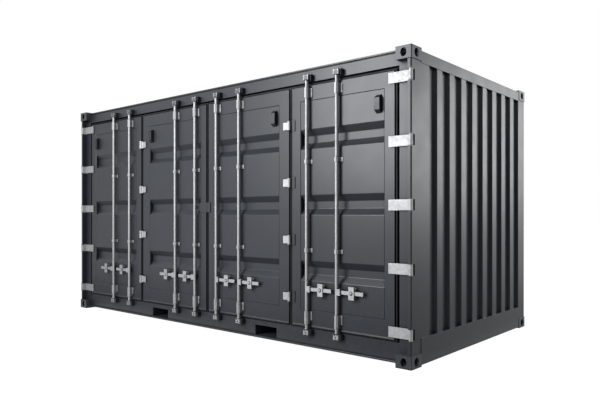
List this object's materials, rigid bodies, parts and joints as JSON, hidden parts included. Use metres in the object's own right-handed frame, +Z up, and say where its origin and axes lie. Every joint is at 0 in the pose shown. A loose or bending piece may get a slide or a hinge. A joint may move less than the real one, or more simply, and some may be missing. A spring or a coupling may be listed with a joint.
{
  "type": "side-opening shipping container",
  "caption": "Steel high-cube shipping container whose long side opens on hinged, folding pairs of door leaves held by lock rods with cams and swing handles.",
  "frame": {"origin": "middle of the underside, level with the soles of the bottom corner castings", "axes": "+X along the length, +Z up, and the door side faces -Y"},
  "size_m": [6.058, 2.438, 2.896],
  "materials": {
    "grey_paint": "satin",
    "casting_paint": "satin over cast steel",
    "galvanised_steel": "bright zinc",
    "door_rubber": "matt",
    "vent_black": "matt",
    "floor_plywood": "oiled"
  },
  "bodies": {
    "root": {"bottom_corner_castings": "casting_paint", "cam_keepers": "grey_paint", "cross_members": "grey_paint", "end_bottom_rails": "grey_paint", "end_top_rails": "grey_paint", "floor": "floor_plywood", "fork_pockets": "grey_paint", "front_header": "grey_paint", "front_left_post": "grey_paint", "front_right_post": "grey_paint", "front_sill": "grey_paint", "left_end_wall": "grey_paint", "post_hinge_pins": "grey_paint", "rear_bottom_rail": "grey_paint", "rear_posts": "grey_paint", "rear_top_rail": "grey_paint", "rear_wall": "grey_paint", "right_end_wall": "grey_paint", "roof": "grey_paint", "top_corner_castings": "casting_paint"},
    "right_outer_leaf": {"right_outer_leaf_fold_hinges": "grey_paint", "right_outer_leaf_frame": "grey_paint", "right_outer_leaf_gasket": "door_rubber", "right_outer_leaf_panel": "grey_paint", "right_outer_leaf_post_straps": "galvanised_steel", "right_outer_leaf_rod_guides": "galvanised_steel", "right_outer_leaf_vent": "vent_black"},
    "right_inner_leaf": {"right_inner_leaf_fold_hinges": "galvanised_steel", "right_inner_leaf_frame": "grey_paint", "right_inner_leaf_gasket": "door_rubber", "right_inner_leaf_lap_stub": "grey_paint", "right_inner_leaf_panel": "grey_paint", "right_inner_leaf_rod_guides": "galvanised_steel", "right_inner_leaf_vent": "vent_black"},
    "left_outer_leaf": {"left_outer_leaf_fold_hinges": "grey_paint", "left_outer_leaf_frame": "grey_paint", "left_outer_leaf_gasket": "door_rubber", "left_outer_leaf_panel": "grey_paint", "left_outer_leaf_post_straps": "galvanised_steel", "left_outer_leaf_rod_guides": "galvanised_steel", "left_outer_leaf_vent": "vent_black"},
    "left_inner_leaf": {"centre_lap_plate": "grey_paint", "left_inner_leaf_fold_hinges": "galvanised_steel", "left_inner_leaf_frame": "grey_paint", "left_inner_leaf_gasket": "door_rubber", "left_inner_leaf_panel": "grey_paint", "left_inner_leaf_rod_guides": "galvanised_steel", "left_inner_leaf_vent": "vent_black"},
    "left_inner_leaf_lock_rod_1": {"left_inner_leaf_lock_rod_1": "galvanised_steel"},
    "left_inner_leaf_lock_rod_2": {"left_inner_leaf_lock_rod_2": "galvanised_steel"},
    "left_outer_leaf_lock_rod_1": {"left_outer_leaf_lock_rod_1": "galvanised_steel"},
    "left_outer_leaf_lock_rod_2": {"left_outer_leaf_lock_rod_2": "galvanised_steel"},
    "right_inner_leaf_lock_rod_1": {"right_inner_leaf_lock_rod_1": "galvanised_steel"},
    "right_inner_leaf_lock_rod_2": {"right_inner_leaf_lock_rod_2": "galvanised_steel"},
    "right_outer_leaf_lock_rod_1": {"right_outer_leaf_lock_rod_1": "galvanised_steel"},
    "right_outer_leaf_lock_rod_2": {"right_outer_leaf_lock_rod_2": "galvanised_steel"}
  },
  "joints": [
    {"name": "right_outer_leaf_swing", "type": "hinge", "parent": "root", "child": "right_outer_leaf", "pos_m": [3.009, -1.199, 1.47], "axis": [0, 0, 1], "range_deg": [0, 180]},
    {"name": "right_inner_leaf_fold", "type": "hinge", "parent": "right_outer_leaf", "child": "right_inner_leaf", "pos_m": [1.43275, -1.183, 1.47], "axis": [0, 0, 1], "range_deg": [0, 165]},
    {"name": "right_outer_leaf_lock_rod_1_turn", "type": "hinge", "parent": "right_outer_leaf", "child": "right_outer_leaf_lock_rod_1", "pos_m": [2.11425, -1.193, 1.47], "axis": [0, 0, 1], "range_deg": [-100, 0]},
    {"name": "right_outer_leaf_lock_rod_2_turn", "type": "hinge", "parent": "right_outer_leaf", "child": "right_outer_leaf_lock_rod_2", "pos_m": [1.70125, -1.193, 1.47], "axis": [0, 0, 1], "range_deg": [-100, 0]},
    {"name": "right_inner_leaf_lock_rod_1_turn", "type": "hinge", "parent": "right_inner_leaf", "child": "right_inner_leaf_lock_rod_1", "pos_m": [0.6215, -1.193, 1.47], "axis": [0, 0, 1], "range_deg": [-100, 0]},
    {"name": "right_inner_leaf_lock_rod_2_turn", "type": "hinge", "parent": "right_inner_leaf", "child": "right_inner_leaf_lock_rod_2", "pos_m": [0.2085, -1.193, 1.47], "axis": [0, 0, 1], "range_deg": [-100, 0]},
    {"name": "left_outer_leaf_swing", "type": "hinge", "parent": "root", "child": "left_outer_leaf", "pos_m": [-3.009, -1.199, 1.47], "axis": [0, 0, -1], "range_deg": [0, 180]},
    {"name": "left_inner_leaf_fold", "type": "hinge", "parent": "left_outer_leaf", "child": "left_inner_leaf", "pos_m": [-1.43275, -1.183, 1.47], "axis": [0, 0, -1], "range_deg": [0, 165]},
    {"name": "left_outer_leaf_lock_rod_1_turn", "type": "hinge", "parent": "left_outer_leaf", "child": "left_outer_leaf_lock_rod_1", "pos_m": [-2.11425, -1.193, 1.47], "axis": [0, 0, -1], "range_deg": [-100, 0]},
    {"name": "left_outer_leaf_lock_rod_2_turn", "type": "hinge", "parent": "left_outer_leaf", "child": "left_outer_leaf_lock_rod_2", "pos_m": [-1.70125, -1.193, 1.47], "axis": [0, 0, -1], "range_deg": [-100, 0]},
    {"name": "left_inner_leaf_lock_rod_1_turn", "type": "hinge", "parent": "left_inner_leaf", "child": "left_inner_leaf_lock_rod_1", "pos_m": [-0.6215, -1.193, 1.47], "axis": [0, 0, -1], "range_deg": [-100, 0]},
    {"name": "left_inner_leaf_lock_rod_2_turn", "type": "hinge", "parent": "left_inner_leaf", "child": "left_inner_leaf_lock_rod_2", "pos_m": [-0.2085, -1.193, 1.47], "axis": [0, 0, -1], "range_deg": [-100, 0]}
  ]
}
